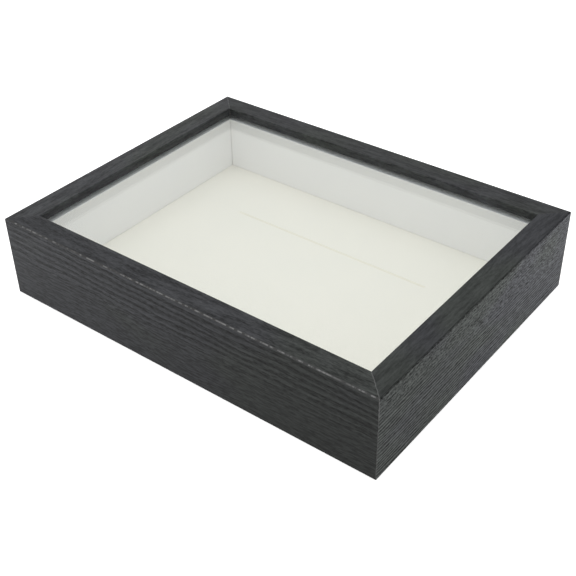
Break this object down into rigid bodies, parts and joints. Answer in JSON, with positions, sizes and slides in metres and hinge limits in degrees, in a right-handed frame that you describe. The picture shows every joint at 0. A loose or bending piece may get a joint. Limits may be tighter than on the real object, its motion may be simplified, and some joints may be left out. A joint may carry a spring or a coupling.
{
  "type": "shadow box",
  "caption": "Deep wooden shadow box lying on its back: black wood-grain rails mitred round clear glass, a white liner, a cream display board and a back panel held by turn buttons.",
  "frame": {"origin": "middle of the back, level with the rails' back faces that the box lies on", "axes": "+X along the long side, +Y along the short side and up when the box hangs landscape, +Z forward out through the glass"},
  "size_m": [0.257, 0.197, 0.052],
  "materials": {
    "rail_foil": "satin black wood-grain foil",
    "glass": "clear polished",
    "liner_paper": "matte white paper",
    "board_paper": "matte cream paper",
    "panel_hardboard": "smooth brown hardboard",
    "button_steel": "zinc plated",
    "rivet_steel": "zinc plated",
    "hanger_steel": "zinc plated",
    "nail_steel": "bright steel"
  },
  "bodies": {
    "frame": {"back_panel": "panel_hardboard", "button_rivet_bottom_left": "rivet_steel", "button_rivet_bottom_right": "rivet_steel", "button_rivet_top_left": "rivet_steel", "button_rivet_top_right": "rivet_steel", "corner_nail_bottom_left": "nail_steel", "corner_nail_bottom_right": "nail_steel", "corner_nail_top_left": "nail_steel", "corner_nail_top_right": "nail_steel", "display_board": "board_paper", "glass_pane": "glass", "hanger_landscape": "hanger_steel", "hanger_portrait": "hanger_steel", "hanger_rivet_landscape_1": "rivet_steel", "hanger_rivet_landscape_2": "rivet_steel", "hanger_rivet_portrait_1": "rivet_steel", "hanger_rivet_portrait_2": "rivet_steel", "liner_bottom": "liner_paper", "liner_left": "liner_paper", "liner_right": "liner_paper", "liner_top": "liner_paper", "rail_bottom": "rail_foil", "rail_left": "rail_foil", "rail_right": "rail_foil", "rail_top": "rail_foil"},
    "turn_button_bottom_left": {"turn_button_bottom_left": "button_steel"},
    "turn_button_bottom_right": {"turn_button_bottom_right": "button_steel"},
    "turn_button_top_left": {"turn_button_top_left": "button_steel"},
    "turn_button_top_right": {"turn_button_top_right": "button_steel"}
  },
  "joints": [
    {"name": "button_swivel_bottom_left", "type": "hinge", "parent": "frame", "child": "turn_button_bottom_left", "pos_m": [-0.07, -0.081, 0.0031], "axis": [0, 0, 1], "continuous": true},
    {"name": "button_swivel_bottom_right", "type": "hinge", "parent": "frame", "child": "turn_button_bottom_right", "pos_m": [0.07, -0.081, 0.0031], "axis": [0, 0, 1], "continuous": true},
    {"name": "button_swivel_top_left", "type": "hinge", "parent": "frame", "child": "turn_button_top_left", "pos_m": [-0.07, 0.081, 0.0031], "axis": [0, 0, 1], "continuous": true},
    {"name": "button_swivel_top_right", "type": "hinge", "parent": "frame", "child": "turn_button_top_right", "pos_m": [0.07, 0.081, 0.0031], "axis": [0, 0, 1], "continuous": true}
  ]
}
